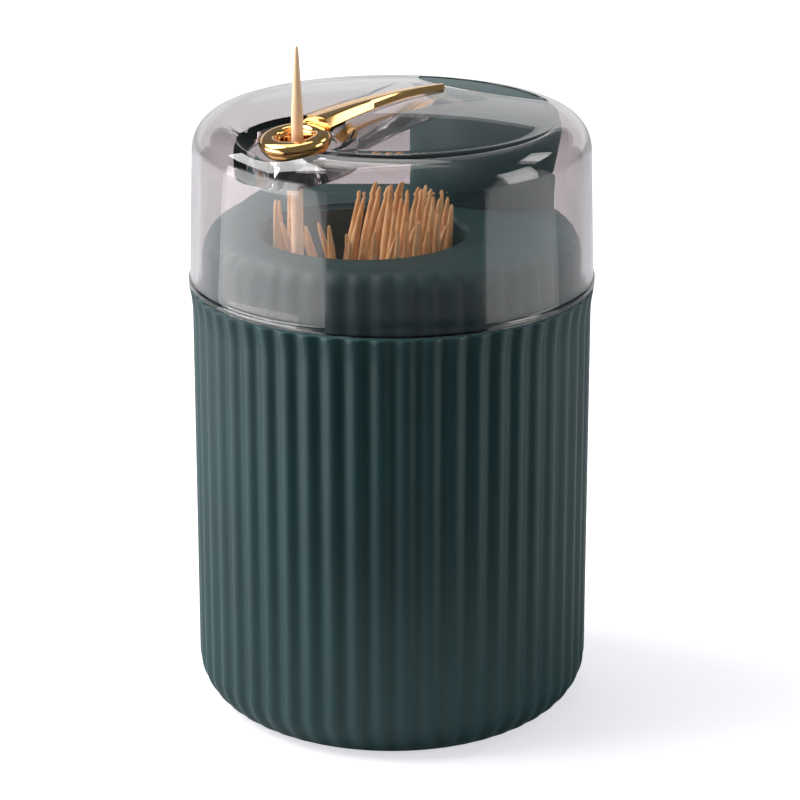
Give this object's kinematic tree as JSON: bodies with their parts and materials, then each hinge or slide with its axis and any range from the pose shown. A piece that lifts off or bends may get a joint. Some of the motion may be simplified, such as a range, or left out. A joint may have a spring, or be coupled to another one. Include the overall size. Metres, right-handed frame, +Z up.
{
  "type": "toothpick dispenser",
  "caption": "Round table-top toothpick dispenser with a fluted cup, a smoked domed lid, a metal ring outlet and a half-moon push button that lifts one toothpick.",
  "frame": {"origin": "centre of the base plate's underside, on the cup's axis", "axes": "+Z up along the cup's axis; -Y towards the ring that the toothpick leaves by, +Y towards the press button; YZ is the plane of symmetry"},
  "size_m": [0.07, 0.07, 0.1206],
  "materials": {
    "green_plastic": "satin moulded, dark blue-green",
    "smoked_plastic": "clear, smoke-tinted and polished",
    "gold_metal": "polished, gold-coloured",
    "white_plastic": "natural acetal, unpainted",
    "steel": "bright zinc-plated",
    "spring_steel": "drawn wire",
    "black_rubber": "soft, matte",
    "birch": "plain turned birch"
  },
  "bodies": {
    "housing": {"outer_body": "green_plastic", "base_plate": "green_plastic", "base_screws": "steel", "inner_barrel": "green_plastic", "hopper": "green_plastic", "hopper_screws": "steel", "button_tower": "green_plastic", "lever_bracket": "white_plastic", "lever_axle": "steel", "axle_clips": "steel", "guide_rods": "steel", "return_spring": "spring_steel", "toothpick_supply": "birch"},
    "button": {"press_button": "green_plastic", "push_rod": "white_plastic"},
    "lever": {"rocker_lever": "white_plastic"},
    "ejector": {"ejector_carriage": "white_plastic", "ejector_pin": "steel"},
    "lid": {"smoke_lid": "smoked_plastic", "gold_trim": "gold_metal", "grip_bush": "black_rubber"},
    "pick": {"raised_toothpick": "birch"}
  },
  "joints": [
    {"name": "button_press", "type": "slide", "parent": "housing", "child": "button", "axis": [0, 0, -1], "range_m": [0, 0.008], "stiffness_N_per_m": 300, "springref_m": -0.006, "deforming": ["return_spring"]},
    {"name": "lever_swing", "type": "hinge", "parent": "housing", "child": "lever", "pos_m": [0, 0.008, 0.0136], "axis": [-1, 0, 0], "range_deg": [0, 33.21]},
    {"name": "ejector_lift", "type": "slide", "parent": "housing", "child": "ejector", "axis": [0, 0, 1], "range_m": [0, 0.018]},
    {"name": "lid_lift", "type": "slide", "parent": "housing", "child": "lid", "axis": [0, 0, 1], "range_m": [0, 0.04]},
    {"name": "pick_pull", "type": "slide", "parent": "lid", "child": "pick", "axis": [0, 0, 1], "range_m": [0, 0.05]}
  ],
  "couplings": [
    {"joint": "lever_swing", "follows": "button_press", "rad_per_m": 72.43},
    {"joint": "ejector_lift", "follows": "button_press", "ratio": 2.25}
  ]
}
